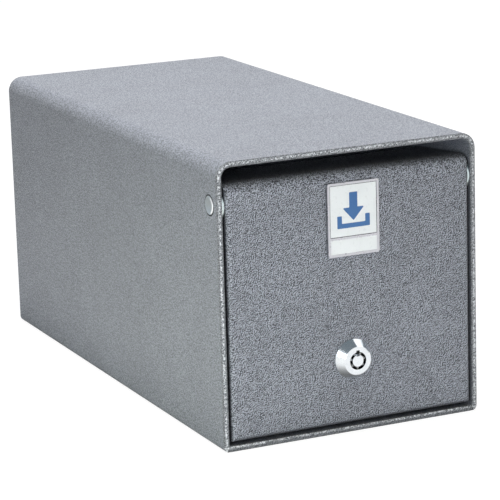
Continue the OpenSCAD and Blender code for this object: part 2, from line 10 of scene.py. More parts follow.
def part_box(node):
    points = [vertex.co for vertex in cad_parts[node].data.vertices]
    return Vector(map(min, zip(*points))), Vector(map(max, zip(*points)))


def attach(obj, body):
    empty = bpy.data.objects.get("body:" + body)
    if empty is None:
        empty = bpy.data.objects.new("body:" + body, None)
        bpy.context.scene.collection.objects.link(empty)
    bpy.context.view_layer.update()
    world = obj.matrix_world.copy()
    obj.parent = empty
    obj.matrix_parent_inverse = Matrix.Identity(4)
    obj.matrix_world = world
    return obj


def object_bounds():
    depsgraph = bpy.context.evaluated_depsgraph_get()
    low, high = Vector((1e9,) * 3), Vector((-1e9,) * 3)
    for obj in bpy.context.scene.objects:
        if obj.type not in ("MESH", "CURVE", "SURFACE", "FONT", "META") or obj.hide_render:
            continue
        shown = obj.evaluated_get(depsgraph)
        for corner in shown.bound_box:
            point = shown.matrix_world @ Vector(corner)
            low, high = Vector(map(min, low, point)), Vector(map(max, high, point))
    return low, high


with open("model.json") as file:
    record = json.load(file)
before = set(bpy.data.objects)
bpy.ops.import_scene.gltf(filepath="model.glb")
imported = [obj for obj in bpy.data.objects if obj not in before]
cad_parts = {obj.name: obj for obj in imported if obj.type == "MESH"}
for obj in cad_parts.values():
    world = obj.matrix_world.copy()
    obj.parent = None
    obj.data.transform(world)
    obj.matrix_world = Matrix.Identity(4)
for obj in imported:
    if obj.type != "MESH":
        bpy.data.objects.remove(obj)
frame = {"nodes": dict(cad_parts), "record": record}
CAD_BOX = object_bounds()

MM = 0.001
NODES = frame["nodes"]


# Camera of the photograph, in the part's frame
CAMERA_AIM = Vector((0.013544, 0.0, 0.066047))
CAMERA_DISTANCE = 1.470822
CAMERA_AZIMUTH = 24.793
CAMERA_ELEVATION = 13.5806
CAMERA_ROLL = -1.6839
CAMERA_LENS = 180.708
SENSOR = 36.0
FAR_CLIP = 60.0

# World: what it gives to what scatters light, and what mirrors see of it
WORLD_FILL = 0.07
WORLD_WHITE = 1.0
CEILING_GREY = 0.20
CEILING_TINT = (0.84, 1.0, 1.12)
RIGHT_BOX_WHITE = 1.35

# Borders in the world, as parts of a direction of length one: the white wall's upper edge, the white box
# on the right, the dark right end and the white wall behind, with the half or whole widths of their edges
WHITE_UP_TO = 0.53
RIGHT_BOX_FROM = 0.40
RIGHT_BOX_TO = 0.80
BACK_WALL_FROM = 0.40
SHARP_EDGE = 0.02
RIGHT_EDGE = 0.06
BACK_EDGE = 0.10

# Floor: its half width, and how far it lies below the safe so that the two don't touch
FLOOR_HALF = 9.0
FLOOR_DROP = 0.05 * MM

# Floor's levels as shares of white, each with the distances from the safe between which it changes. The
# bounce levels are a pool of light painted into its colour near the safe.
BOUNCE_REACH = (0.06, 0.34)
BOUNCE_LEVELS = (0.92, 0.22)
OPEN_REACH = (0.25, 1.20)
OPEN_LEVELS = (0.82, 0.95)
FAR_REACH = (0.14, 0.60)
FAR_DIM = 0.40
PLAIN_REACH = (0.20, 0.55)
PLAIN_LEVELS = (0.91, 1.0)
SHADOW_SHARE = 0.13

# What mirrors see of the floor, darkened in front of the door as a painted shadow: its levels away from the
# door and close to it, their distances from the door, the distance beside the safe where it is light again,
# and the depths between which it dims
SHADE_LEVELS = (0.95, 0.05)
SHADE_REACH = (0.030, 0.003)
SHADE_SIDE = 0.05
BEHIND_DEPTH = (-0.15, 0.05)

# Lamps: name, place, what it faces, width and height, watts, colour, and whether mirrors show it
SAFE_MIDDLE = (0.0, 0.0, 0.07)
DOOR_MIDDLE = (0.0, -0.16, 0.08)
KEY_PLACE = (-0.36, -0.62, 0.17)
KEY_COLOUR = (0.86, 0.91, 1.0)
LAMPS = (
    ("top_box", (-0.08, 0.05, 0.95), SAFE_MIDDLE, (0.7, 0.9), 14.6, (0.925, 0.942, 1.0), False),
    ("key_box", KEY_PLACE, DOOR_MIDDLE, (0.22, 0.22), 1.15, KEY_COLOUR, True),
    ("key_fill", KEY_PLACE, DOOR_MIDDLE, (0.22, 0.22), 1.25, KEY_COLOUR, False),
    ("front_box", (-0.15, -0.90, 0.75), DOOR_MIDDLE, (0.4, 0.4), 2.6, (1.0, 0.95, 0.80), False),
    ("low_box", (-0.40, -0.22, 0.20), (-0.40, -0.221, 0.0), (0.25, 0.40), 0.8, (0.89, 1.0, 0.60), False),
)

# Samples of the shader nodes that look around them, the span that most of a noise lies in, and the cosines
# between flat and rounded normals from which an edge starts and is full
SHADER_SAMPLES = 4
NOISE_SPAN = (0.3, 0.7)
EDGE_COSINES = (0.985, 0.86)

# Lock: roughness of the turned cone and of the polished face, how squarely forward a surface looks where it
# stops being cone and is all face, and how far the cone's grooves lean forward
CONE_ROUGHNESS = 0.17
FACE_ROUGHNESS = 0.14
FACE_FORWARD = (0.70, 0.85)
GROOVE_LEAN = 0.30

# Keyway: radii that its walls with painted shade lie between, how soft that ring's edges are, and the
# depths behind the lock's front at which the painted shade begins and is full
KEYWAY_RADII = (3.0 * MM, 5.0 * MM)
KEYWAY_SOFT = 0.1 * MM
KEYWAY_DARK = (0.2 * MM, 0.7 * MM)

# Powder coat: size of its grain, and height of its pebbles, on the door and on the body
DOOR_PEBBLE = 0.63 * MM
BODY_PEBBLE = 0.75 * MM
DOOR_RELIEF = 0.27 * MM
BODY_RELIEF = 0.15 * MM

# Coat's relief: radii in cells where a pebble starts and is full, the shares of pebbles, fine grain and
# slow flow, and how many of the last two fit a pebble
PEBBLE_RADII = (0.62, 0.12)
PEBBLE_SHARE = 0.74
FINE_SHARE = 0.18
FLOW_SHARE = 0.35
FINE_PER_PEBBLE = 2.9
FLOW_PER_PEBBLE = 0.30

# Coat's tones: the painted shaded and lit sides of its grain, how much of their contrast the body has, its
# flakes' tone, also laid on edges as a painted highlight, its painted shade in gaps, and the roughness and
# metal of the grain's dark and pale sides
COAT_SHADED_TONE = (0.021, 0.023, 0.027)
COAT_LIT_TONE = (0.390, 0.413, 0.458)
BODY_CONTRAST = 0.42
FLAKE_AND_HIGHLIGHT = (0.72, 0.74, 0.78)
CREVICE_SHADE = (0.028, 0.030, 0.033)
COAT_ROUGH = (0.52, 0.36)
COAT_METAL = (0.05, 0.30)

# Metal flakes: how many fit a pebble, the span of chance that picks them, their radii in cells, and the
# shares of a flake's tone and of the painted highlight on edges in the coat
FLAKES_PER_PEBBLE = 3.4
FLAKE_CHANCE = (0.80, 0.95)
FLAKE_RADII = (0.42, 0.18)
FLAKE_SHARE = 0.45
EDGE_HIGHLIGHT_SHARE = 0.75

# Painted light and shade on the grain: the side its pale slopes face, how far ahead and behind its heights
# are read in pebbles, and the slope of full tone
PAINTED_LIGHT_SIDE = (-0.64, -0.30, 0.70)
LIT_REACH = 0.30
LIT_RANGE = 0.055

# Painted shade in narrow gaps: its reach, the openness where it starts and is full, and its roughness
CREVICE_REACH = 5.0 * MM
CREVICE_OPENNESS = (0.34, 0.06)
CREVICE_ROUGH = 0.9

# Softer painted shade on the door: its reach, the openness where it is full and ends, and its level
DOOR_SHADE_REACH = 16.0 * MM
DOOR_SHADE_OPENNESS = (0.20, 0.80)
DOOR_SHADE = 0.30

# Radius of the edges where the coat gets a painted highlight
EDGE_HIGHLIGHT_RADIUS = 0.45 * MM

# Cut rims: their shaded and lit tones, the beads' pale tone, which is a painted highlight, the beads' bands
# as shares of the rim's width, how many beads fit in a metre, the span of noise that makes them, and how
# far behind the front the rims' look holds and fades
RIM_SHADED_TONE = (0.085, 0.090, 0.098)
RIM_LIT_TONE = (0.260, 0.272, 0.285)
BEAD_HIGHLIGHT = (0.74, 0.76, 0.78)
ARCH_BAND = (0.26, 0.42, 0.68, 0.88)
SILL_BAND = (0.02, 0.10, 0.34, 0.50)
BEADS_PER_METRE = 1300.0
BEAD_SPAN = (0.46, 0.60)
RIM_DEPTH = 0.6 * MM
RIM_BLEND = 1.0 * MM

# Outside radius of the two bends along the top, as the model has it
TOP_BEND_RADIUS = 8.5 * MM

# Tones of the other finishes, with the factors of zinc's cool and warm tints and how far its roughness
# strays to either side
ZINC = (0.66, 0.73, 0.73)
ZINC_COOL = (0.94, 0.99, 1.03)
ZINC_WARM = (1.02, 1.01, 0.95)
ZINC_SCRATCH = (0.30, 0.31, 0.33)
# Zinc's tone under the painted highlight on the pins' rims
ZINC_HIGHLIGHT = (0.93, 0.95, 0.96)
ZINC_SPREAD = (-0.07, 0.12)
# Tumbler pins' zinc, painted darker as shade deep in the keyway
TUMBLER_SHADED_ZINC = (0.36, 0.37, 0.38)
CHROME_TONES = ((0.88, 0.91, 0.935), (0.83, 0.865, 0.895))
# Painted shade on the keyway's walls
KEYWAY_SHADE = (0.10, 0.10, 0.11)
BRASS_TONES = ((0.78, 0.58, 0.24), (0.60, 0.42, 0.17))
OXIDE_TONES = ((0.045, 0.046, 0.05), (0.12, 0.115, 0.11))
ALUMINIUM_TONES = ((0.68, 0.68, 0.715), (0.57, 0.57, 0.605))
WHITE_TONES = ((0.78, 0.805, 0.80), (0.74, 0.765, 0.765))
BLUE_TONES = ((0.042, 0.138, 0.330), (0.028, 0.108, 0.285))
BLUE_SPECK = (0.07, 0.18, 0.38)
FOAM_TONES = ((0.012, 0.012, 0.013), (0.045, 0.045, 0.048))
# Tones of the painted shadow round the pin ends
JOINT_SHADOW_TONES = ((0.018, 0.019, 0.020), (0.060, 0.062, 0.066))

# Heights between which the blue print gets darker
PRINT_FADE = (0.108, 0.134)

# Spans of a pattern over which one tone blends into the other, and the most that scratches and specks show
STAIN_SPAN = (0.35, 0.65)
BLOOM_SPAN = (0.35, 0.7)
JOINT_SHADOW_SPAN = (0.4, 0.7)
SCRATCH_SPAN = (0.62, 0.74)
MESH_SPAN = (0.5, 0.8)
PORE_SPAN = (0.1, 0.6)
SPECK_SHARE = 0.25

# Patterns in the finishes, in repeats per metre: one number for spots, or those along X, Y and Z for lines
COAT_MOTTLE = 34.0
ZINC_PATCHES = 160.0
ZINC_SCRATCHES = (900.0, 900.0, 5200.0)
ZINC_BLOOM = 420.0
CHROME_HAZE = 260.0
CHROME_TURNING = (60.0, 5200.0, 60.0)
BRASS_TURNING = (260.0, 4200.0, 260.0)
BRASS_STAINS = 300.0
OXIDE_BLOOM = 380.0
BADGE_GRAIN = (5200.0, 3000.0, 160.0)
BADGE_CLOUDS = 150.0
WHITE_CLOUDS = 90.0
WHITE_PEEL = 620.0
PRINT_MESH = 1900.0
FOAM_PORES = 2600.0
JOINT_SHADOW_SPECKS = 2400.0

# Modifiers of the CAD nodes: the reach that joins split faces, the angle of a sharp edge in degrees, the
# steps of its rounding, and how much the larger faces lead the shading
WELD_REACH = 1e-6
SHARP_ANGLE = 30
BEVEL_SEGMENTS = 2
FLAT_FACE_WEIGHT = 90

# Rounding of the CAD nodes' edges, in millimetres
EDGE_WIDTHS = {
    "body_wrap": 0.36, "floor_plate": 0.4, "back_plate": 0.35, "slot_baffle": 0.0, "cam_keeper": 0.4,
    "door_stop_left": 0.4, "door_stop_right": 0.4, "pivot_pin_left": 0.2, "pivot_pin_right": 0.2,
    "pivot_washer_left": 0.25, "pivot_washer_right": 0.25, "pin_clip_left": 0.12, "pin_clip_right": 0.12,
    "door_panel": 0.35, "lock_shell": 0.08, "lock_washer": 0.1, "lock_nut": 0.12, "lock_bushing": 0.0,
    "driver_pins": 0.0, "bushing_pin": 0.1, "lock_plug": 0.0, "tumbler_pins": 0.0, "stop_washer": 0.15,
    "lock_cam": 0.25, "cam_split_washer": 0.12, "cam_nut": 0.09, "badge_frame": 0.09, "badge_panel": 0.08,
    "badge_pad": 0.08,
}

# Gap round the badge's panel, as the model has it
PANEL_GAP = 0.25 * MM

# Printed symbol: parts of the panel's width that it is drawn in, its foot above the panel's lower edge, the
# radius of its corners, and the outlines of arrow and tray from the middle of its foot, all in those parts
SYMBOL_GRID = 26.0
SYMBOL_FOOT = 4.2
SYMBOL_CORNER = 0.45
SYMBOL_ARROW = [(-2.3, 18.2), (-2.3, 10.4), (-6.1, 10.4), (0.0, 3.6), (6.1, 10.4), (2.3, 10.4), (2.3, 18.2)]
SYMBOL_TRAY = [(-9.2, 6.4), (-9.2, 0.0), (9.2, 0.0), (9.2, 6.4),
               (6.6, 6.4), (6.6, 2.4), (-6.6, 2.4), (-6.6, 6.4)]
PRINT_THICKNESS = 0.06 * MM

# Front of the painted shade in the panel's gap behind the panel's, and the enamel's corners, thickness and
# back behind the frame's front
GAP_SHADE_INSET = 0.03 * MM
ENAMEL_CORNER = 0.3 * MM
ENAMEL_THICKNESS = 0.12 * MM
ENAMEL_BACK = 0.2 * MM

# Steps of what is rounded: in a corner and round a turned piece. A corner takes no more than this share of
# the shorter edge beside it.
CORNER_STEPS = 5
LATHE_STEPS = 48
CORNER_SHARE = 0.45

# Pin ends and the rings of painted shadow round them, in millimetres: steps out from the pin's radius and
# up from the wall, and the height of the middle
PIN_END = [(0.0, -0.05), (0.0, 0.08), (-0.12, 0.24), (-0.75, 0.52), (-1.0, 0.56)]
PIN_END_TOP = 0.58
PIN_JOINT_SHADOW = [(0.80, -0.05), (0.80, 0.02), (-0.10, 0.03)]
PIN_JOINT_SHADOW_TOP = 0.03

# Peened ends' zinc, and the painted highlight on its rim: distances inside the pin's radius where it starts
# and is full, and the same in front of the pin's axis, as shares of the radius
PEENED_ZINC = (0.41, 0.46, 0.50)
RIM_HIGHLIGHT_REACH = (1.0 * MM, 0.6 * MM)
RIM_HIGHLIGHT_SIDE = (0.25, 0.60)

# Turned parts whose shallow edges stay crisp
CRISP_NODES = ("lock_shell", "lock_plug", "tumbler_pins")


def add(tree, kind, inputs=None, **settings):
    """Adds a node, with its settings and its inputs by name: a socket is linked, a value is set."""
    node = tree.nodes.new(kind)
    for key, value in settings.items():
        setattr(node, key, value)
    for key, value in (inputs or {}).items():
        socket = node.inputs[key]
        if isinstance(value, bpy.types.NodeSocket):
            tree.links.new(value, socket)
        else:
            socket.default_value = value
    return node


def maths(tree, operation, a, b=0.0, clamp=False):
    """Maths on two values, held between zero and one where clamp says so."""
    node = add(tree, "ShaderNodeMath", {0: a, 1: b}, operation=operation)
    node.use_clamp = clamp
    return node.outputs[0]


def vectors(tree, operation, a, b=(0.0, 0.0, 0.0)):
    """Vector maths: a measure comes as a value, and anything else as a vector."""
    node = add(tree, "ShaderNodeVectorMath", {0: a, 1: b}, operation=operation)
    return node.outputs["Value" if operation in ("LENGTH", "DISTANCE", "DOT_PRODUCT") else "Vector"]


def along(tree, vector, axis):
    """Part of a vector along the axis X, Y or Z."""
    return add(tree, "ShaderNodeSeparateXYZ", {"Vector": vector}).outputs[axis]


def grey(tree, level):
    """A grey of the level that a socket gives."""
    return add(tree, "ShaderNodeCombineColor", {0: level, 1: level, 2: level}).outputs[0]


def remap(tree, value, low, high, to_low=0.0, to_high=1.0, smooth=False):
    """Maps low..high to to_low..to_high, held at both ends."""
    kind = "SMOOTHSTEP" if smooth else "LINEAR"
    inputs = {"Value": value, "From Min": low, "From Max": high, "To Min": to_low, "To Max": to_high}
    return add(tree, "ShaderNodeMapRange", inputs, interpolation_type=kind).outputs[0]


def levels(tree, pattern, low, high):
    """Turns the usual span of a noise into a range of levels."""
    return remap(tree, pattern, *NOISE_SPAN, low, high)


def band(tree, value, edges):
    """One between the two middle edges, falling to zero at the two outer ones."""
    rise = remap(tree, value, edges[0], edges[1])
    fall = remap(tree, value, edges[3], edges[2])
    return maths(tree, "MULTIPLY", rise, fall)


def blend_colours(tree, factor, a, b, kind="MIX"):
    """Mixes two colours. A colour is a socket or three linear numbers."""
    node = tree.nodes.new("ShaderNodeMix")
    node.data_type = "RGBA"
    node.blend_type = kind
    for key, value in (("Factor", factor), ("A", a), ("B", b)):
        sockets = [s for s in node.inputs if s.name == key and s.enabled]
        if isinstance(value, bpy.types.NodeSocket):
            tree.links.new(value, sockets[0])
        elif key == "Factor":
            sockets[0].default_value = value
        else:
            sockets[0].default_value = (*value, 1.0)
    return [s for s in node.outputs if s.enabled][0]


def noise(tree, vector, scale, detail=2.0, roughness=0.5, distortion=0.0):
    """Smooth noise from zero to one."""
    inputs = {"Vector": vector, "Scale": scale, "Detail": detail, "Roughness": roughness,
              "Distortion": distortion}
    return add(tree, "ShaderNodeTexNoise", inputs).outputs[0]


def stretched(tree, vector, scale):
    """A place scaled by its own factor along each axis."""
    return add(tree, "ShaderNodeMapping", {"Vector": vector, "Scale": scale}).outputs[0]


def new_material(name):
    """An empty node material with its Principled shader, and coordinates that stay on the object."""
    material = bpy.data.materials.new(name)
    material.use_nodes = True
    tree = material.node_tree
    tree.nodes.clear()
    shader = add(tree, "ShaderNodeBsdfPrincipled")
    add(tree, "ShaderNodeOutputMaterial", {"Surface": shader.outputs[0]})
    place = add(tree, "ShaderNodeTexCoord").outputs["Object"]
    return material, tree, shader, place


def edge_mask(tree, radius):
    """One on edges that the given radius would round, and zero on flat faces."""
    rounded = add(tree, "ShaderNodeBevel", {"Radius": radius}, samples=SHADER_SAMPLES).outputs[0]
    surface = add(tree, "ShaderNodeNewGeometry").outputs["Normal"]
    return remap(tree, vectors(tree, "DOT_PRODUCT", rounded, surface), *EDGE_COSINES)


def openness(tree, reach):
    """One where nothing stands near, and zero deep in a gap, as far as the reach looks."""
    look = add(tree, "ShaderNodeAmbientOcclusion", {"Distance": reach}, samples=SHADER_SAMPLES)
    return look.outputs["AO"]


def connect(tree, shader, **sockets):
    """Links sockets to the Principled shader's main inputs."""
    names = {"colour": "Base Color", "rough": "Roughness", "metal": "Metallic", "normal": "Normal"}
    for key, socket in sockets.items():
        tree.links.new(socket, shader.inputs[names[key]])


def bump(tree, height, distance, normal=None):
    """Normal of a surface that a height of one lifts by the distance."""
    inputs = {"Height": height, "Distance": distance, "Strength": 1.0}
    if normal is not None:
        inputs["Normal"] = normal
    return add(tree, "ShaderNodeBump", inputs).outputs[0]


def rim_place(tree, place):
    """Places across the cut rims of fold and floor: zero at the inner edge and one at the outer."""
    wrap_low, wrap_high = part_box("body_wrap")
    door_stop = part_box("door_stop_left")[0]
    floor_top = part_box("floor_plate")[1].z
    thick = door_stop.x - wrap_low.x
    bend = TOP_BEND_RADIUS - thick
    middle = (-door_stop.x - bend, 0.0, wrap_high.z - thick - bend)
    folded = vectors(tree, "ABSOLUTE", place)
    beyond = vectors(tree, "SUBTRACT", folded, middle)
    flat = vectors(tree, "MULTIPLY", beyond, (1.0, 0.0, 1.0))
    outside = vectors(tree, "MAXIMUM", flat)
    reach = vectors(tree, "LENGTH", outside)
    arch = remap(tree, reach, bend, bend + thick)
    sill = remap(tree, along(tree, place, "Z"), floor_top, 0.0)
    return arch, sill


def pebble_height(tree, place, pebble):
    """Height of the powder's pebbles, from zero in the valleys to about one on the crests."""
    cells = add(tree, "ShaderNodeTexVoronoi", {"Vector": place, "Scale": 1.0 / pebble, "Smoothness": 0.45},
                feature="SMOOTH_F1").outputs["Distance"]
    pebbles = remap(tree, cells, *PEBBLE_RADII)
    fine = noise(tree, place, FINE_PER_PEBBLE / pebble, 1.0)
    flow = noise(tree, place, FLOW_PER_PEBBLE / pebble, 2.0)
    pebbles = maths(tree, "MULTIPLY", pebbles, PEBBLE_SHARE)
    height = maths(tree, "ADD", pebbles, maths(tree, "MULTIPLY", fine, FINE_SHARE))
    return maths(tree, "ADD", height, maths(tree, "MULTIPLY", flow, FLOW_SHARE))


def grain_height(tree, place, pebble):
    """Height of the finest grain, whose slope decides the tone of each speck."""
    return noise(tree, place, 1.0 / pebble, 1.5, 0.6)


def grain_painted_light(tree, place, pebble):
    """Tone of the grain, with painted light and shade: pale on slopes that face the lit side, and dark on
    those that face away.
    """
    toward = [c * LIT_REACH * pebble for c in PAINTED_LIGHT_SIDE]
    ahead = grain_height(tree, vectors(tree, "ADD", place, toward), pebble)
    behind = grain_height(tree, vectors(tree, "SUBTRACT", place, toward), pebble)
    return remap(tree, maths(tree, "SUBTRACT", behind, ahead), -LIT_RANGE, LIT_RANGE)


def flake_mask(tree, place, pebble):
    """Round spots of metal flake, in about one cell of eight."""
    flakes = add(tree, "ShaderNodeTexVoronoi", {"Vector": place, "Scale": FLAKES_PER_PEBBLE / pebble})
    chance = add(tree, "ShaderNodeSeparateColor", {"Color": flakes.outputs["Color"]}).outputs[0]
    spots = remap(tree, flakes.outputs["Distance"], *FLAKE_RADII)
    return maths(tree, "MULTIPLY", remap(tree, chance, *FLAKE_CHANCE), spots)


def rim_colour(tree, place, grain):
    """Colour of the cut rims: darker coat with a row of thick beads of powder, painted pale as the
    highlights their edges catch.
    """
    arch, sill = rim_place(tree, place)
    row = maths(tree, "MAXIMUM", band(tree, arch, ARCH_BAND), band(tree, sill, SILL_BAND))
    lumps = noise(tree, place, BEADS_PER_METRE, 2.0, distortion=0.6)
    # Beads of powder, painted pale as highlights
    beads = maths(tree, "MULTIPLY", row, remap(tree, lumps, *BEAD_SPAN))
    coat = blend_colours(tree, grain, RIM_SHADED_TONE, RIM_LIT_TONE)
    return blend_colours(tree, beads, coat, BEAD_HIGHLIGHT)


def hammertone(name, pebble, relief_height, contrast, rim_y=None):
    """Textured powder coat: fine grain with painted light and shade, paler on one side, with metal flake
    and slight mottling.

    The cut rims of the housing, in front of rim_y, carry thicker beads of powder with painted highlights.
    The door, which has no such rim, has soft painted shade under the slot and round its edges.
    """
    material, tree, shader, place = new_material(name)
    grain = grain_painted_light(tree, place, pebble)
    middle = [0.5 * (a + b) for a, b in zip(COAT_SHADED_TONE, COAT_LIT_TONE)]
    shaded_tone = [m + contrast * (c - m) for m, c in zip(middle, COAT_SHADED_TONE)]
    lit_tone = [m + contrast * (c - m) for m, c in zip(middle, COAT_LIT_TONE)]
    colour = blend_colours(tree, grain, shaded_tone, lit_tone)
    sparkle = maths(tree, "MULTIPLY", flake_mask(tree, place, pebble), FLAKE_SHARE * contrast)
    colour = blend_colours(tree, sparkle, colour, FLAKE_AND_HIGHLIGHT)
    # Painted highlight on edges, on the pale side of the grain
    edge_highlight = maths(tree, "MULTIPLY", edge_mask(tree, EDGE_HIGHLIGHT_RADIUS), grain)
    colour = blend_colours(tree, maths(tree, "MULTIPLY", edge_highlight, EDGE_HIGHLIGHT_SHARE), colour, FLAKE_AND_HIGHLIGHT)
    if rim_y is not None:
        rim = remap(tree, along(tree, place, "Y"), rim_y + RIM_BLEND, rim_y)
        colour = blend_colours(tree, rim, colour, rim_colour(tree, place, grain))
        relief_height = remap(tree, rim, 0.0, 1.0, relief_height, DOOR_RELIEF)
    mottle = levels(tree, noise(tree, place, COAT_MOTTLE, 3.0), 0.95, 1.05)
    colour = blend_colours(tree, 1.0, colour, grey(tree, mottle), "MULTIPLY")
    # Painted shade: the coat is darkened deep in narrow gaps, and made rougher there
    crevice_shade = remap(tree, openness(tree, CREVICE_REACH), *CREVICE_OPENNESS)
    colour = blend_colours(tree, crevice_shade, colour, CREVICE_SHADE)
    if rim_y is None:
        # Painted soft shade over the door, under the slot and round its edges
        painted_door_shade = remap(tree, openness(tree, DOOR_SHADE_REACH), *DOOR_SHADE_OPENNESS, DOOR_SHADE, 1.0)
        colour = blend_colours(tree, 1.0, colour, grey(tree, painted_door_shade), "MULTIPLY")
    grain_rough = remap(tree, grain, 0.0, 1.0, *COAT_ROUGH)
    rough = maths(tree, "MAXIMUM", grain_rough, maths(tree, "MULTIPLY", crevice_shade, CREVICE_ROUGH))
    metal = remap(tree, grain, 0.0, 1.0, *COAT_METAL)
    normal = bump(tree, pebble_height(tree, place, pebble), relief_height)
    connect(tree, shader, colour=colour, rough=rough, metal=metal, normal=normal)
    return material


def zinc(name="bright_zinc", colour=ZINC, rough=0.27, highlight_mask=None):
    """Zinc plate: faint blue and straw tints, fine scratches and dull patches.

    A painted highlight makes a part paler: a function of the tree and the place gives its mask.
    """
    material, tree, shader, place = new_material(name)
    patches = noise(tree, place, ZINC_PATCHES, 3.0)
    tint = remap(tree, patches, *STAIN_SPAN)
    cool, warm = ([c * t for c, t in zip(colour, tones)] for tones in (ZINC_COOL, ZINC_WARM))
    fine = noise(tree, stretched(tree, place, ZINC_SCRATCHES), 1.0, 3.0)
    toned = blend_colours(tree, tint, cool, warm)
    scratches = remap(tree, fine, *SCRATCH_SPAN, 0.0, SPECK_SHARE)
    toned = blend_colours(tree, scratches, toned, ZINC_SCRATCH)
    if highlight_mask:
        toned = blend_colours(tree, highlight_mask(tree, place), toned, ZINC_HIGHLIGHT)
    bloom = noise(tree, place, ZINC_BLOOM, 4.0)
    spread = levels(tree, bloom, rough + ZINC_SPREAD[0], rough + ZINC_SPREAD[1])
    shader.inputs["Metallic"].default_value = 1.0
    connect(tree, shader, colour=toned, rough=spread, normal=bump(tree, fine, 0.012 * MM))
    return material


def turned(tree, vector, way):
    """A world normal seen from the object for way 1, and back again for way -1."""
    spaces = ("WORLD", "OBJECT")[::way]
    return add(tree, "ShaderNodeVectorTransform", {"Vector": vector}, vector_type="NORMAL",
               convert_from=spaces[0], convert_to=spaces[1]).outputs[0]


def distance_from_axis(tree, place, across, axis):
    """Distance from an axis, where across has a one for each direction across it and a zero along it."""
    return vectors(tree, "DISTANCE", vectors(tree, "MULTIPLY", place, across), axis)


def keyway_depth(tree, place):
    """One on the walls inside the round keyway, and zero on the lock's outside."""
    low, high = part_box("lock_shell")
    axis = (0.5 * (low.x + high.x), 0.0, 0.5 * (low.z + high.z))
    radius = distance_from_axis(tree, place, (1.0, 0.0, 1.0), axis)
    inner, outer = KEYWAY_RADII
    within = remap(tree, radius, outer + KEYWAY_SOFT, outer - KEYWAY_SOFT)
    beyond = remap(tree, radius, inner - KEYWAY_SOFT, inner + KEYWAY_SOFT)
    ring = maths(tree, "MULTIPLY", within, beyond)
    deep = remap(tree, along(tree, place, "Y"), low.y + KEYWAY_DARK[0], low.y + KEYWAY_DARK[1])
    return maths(tree, "MULTIPLY", ring, deep)


def chrome():
    """Chrome of the lock: a near mirror on its face, and turned round its axis on the cone.

    The turning grooves of the cone face forward, so its shading normals lean that way.
    The keyway's walls are darkened with depth, as painted shade.
    """
    material, tree, shader, place = new_material("lock_chrome")
    haze = noise(tree, place, CHROME_HAZE, 3.0)
    colour = blend_colours(tree, remap(tree, haze, *BLOOM_SPAN), *CHROME_TONES)
    colour = blend_colours(tree, keyway_depth(tree, place), colour, KEYWAY_SHADE)
    facing = turned(tree, add(tree, "ShaderNodeNewGeometry").outputs["True Normal"], 1)
    forward = maths(tree, "ABSOLUTE", along(tree, facing, "Y"))
    face = remap(tree, forward, *FACE_FORWARD)
    rough = remap(tree, face, 0.0, 1.0, CONE_ROUGHNESS, FACE_ROUGHNESS)
    rough = maths(tree, "ADD", rough, levels(tree, haze, -0.01, 0.03))
    shader.inputs["Metallic"].default_value = 1.0
    shader.inputs["Anisotropic"].default_value = 0.95
    shader.inputs["Anisotropic Rotation"].default_value = 0.25
    round_axis = add(tree, "ShaderNodeTangent", direction_type="RADIAL", axis="Y").outputs[0]
    tree.links.new(round_axis, shader.inputs["Tangent"])
    turning = noise(tree, stretched(tree, place, CHROME_TURNING), 1.0, 2.0)
    leaning = vectors(tree, "ADD", facing, (0.0, -GROOVE_LEAN, 0.0))
    grooves = turned(tree, vectors(tree, "NORMALIZE", leaning), -1)
    connect(tree, shader, colour=colour, rough=rough,
            normal=bump(tree, turning, 0.002 * MM, normal=grooves))
    return material


def brass():
    """Turned brass, a little stained."""
    material, tree, shader, place = new_material("turned_brass")
    turning = noise(tree, stretched(tree, place, BRASS_TURNING), 1.0, 2.0)
    stain = noise(tree, place, BRASS_STAINS, 3.0)
    colour = blend_colours(tree, remap(tree, stain, *STAIN_SPAN), *BRASS_TONES)
    shader.inputs["Metallic"].default_value = 1.0
    connect(tree, shader, colour=colour, rough=levels(tree, turning, 0.22, 0.38),
            normal=bump(tree, turning, 0.01 * MM))
    return material


def black_oxide():
    """Black oxide on spring steel, with a pale bloom."""
    material, tree, shader, place = new_material("black_oxide")
    bloom = noise(tree, place, OXIDE_BLOOM, 3.0)
    colour = blend_colours(tree, remap(tree, bloom, *BLOOM_SPAN), *OXIDE_TONES)
    shader.inputs["Metallic"].default_value = 0.85
    connect(tree, shader, colour=colour, rough=levels(tree, bloom, 0.32, 0.5),
            normal=bump(tree, bloom, 0.02 * MM))
    return material


def aluminium():
    """Badge metal: bright, with a fine upright grain."""
    material, tree, shader, place = new_material("badge_aluminium")
    grain = noise(tree, stretched(tree, place, BADGE_GRAIN), 1.0, 3.0)
    soft = noise(tree, place, BADGE_CLOUDS, 2.0)
    colour = blend_colours(tree, remap(tree, grain, *NOISE_SPAN), *ALUMINIUM_TONES)
    shader.inputs["Metallic"].default_value = 1.0
    connect(tree, shader, colour=colour, rough=levels(tree, soft, 0.24, 0.34),
            normal=bump(tree, grain, 0.006 * MM))
    return material


def white_gloss():
    """White enamel with a clear coat."""
    material, tree, shader, place = new_material("white_gloss")
    cloud = noise(tree, place, WHITE_CLOUDS, 3.0)
    peel = noise(tree, place, WHITE_PEEL, 2.0)
    colour = blend_colours(tree, remap(tree, cloud, *NOISE_SPAN), *WHITE_TONES)
    shader.inputs["Coat Weight"].default_value = 0.6
    shader.inputs["Coat Roughness"].default_value = 0.08
    connect(tree, shader, colour=colour, rough=levels(tree, peel, 0.25, 0.38),
            normal=bump(tree, peel, 0.006 * MM))
    return material


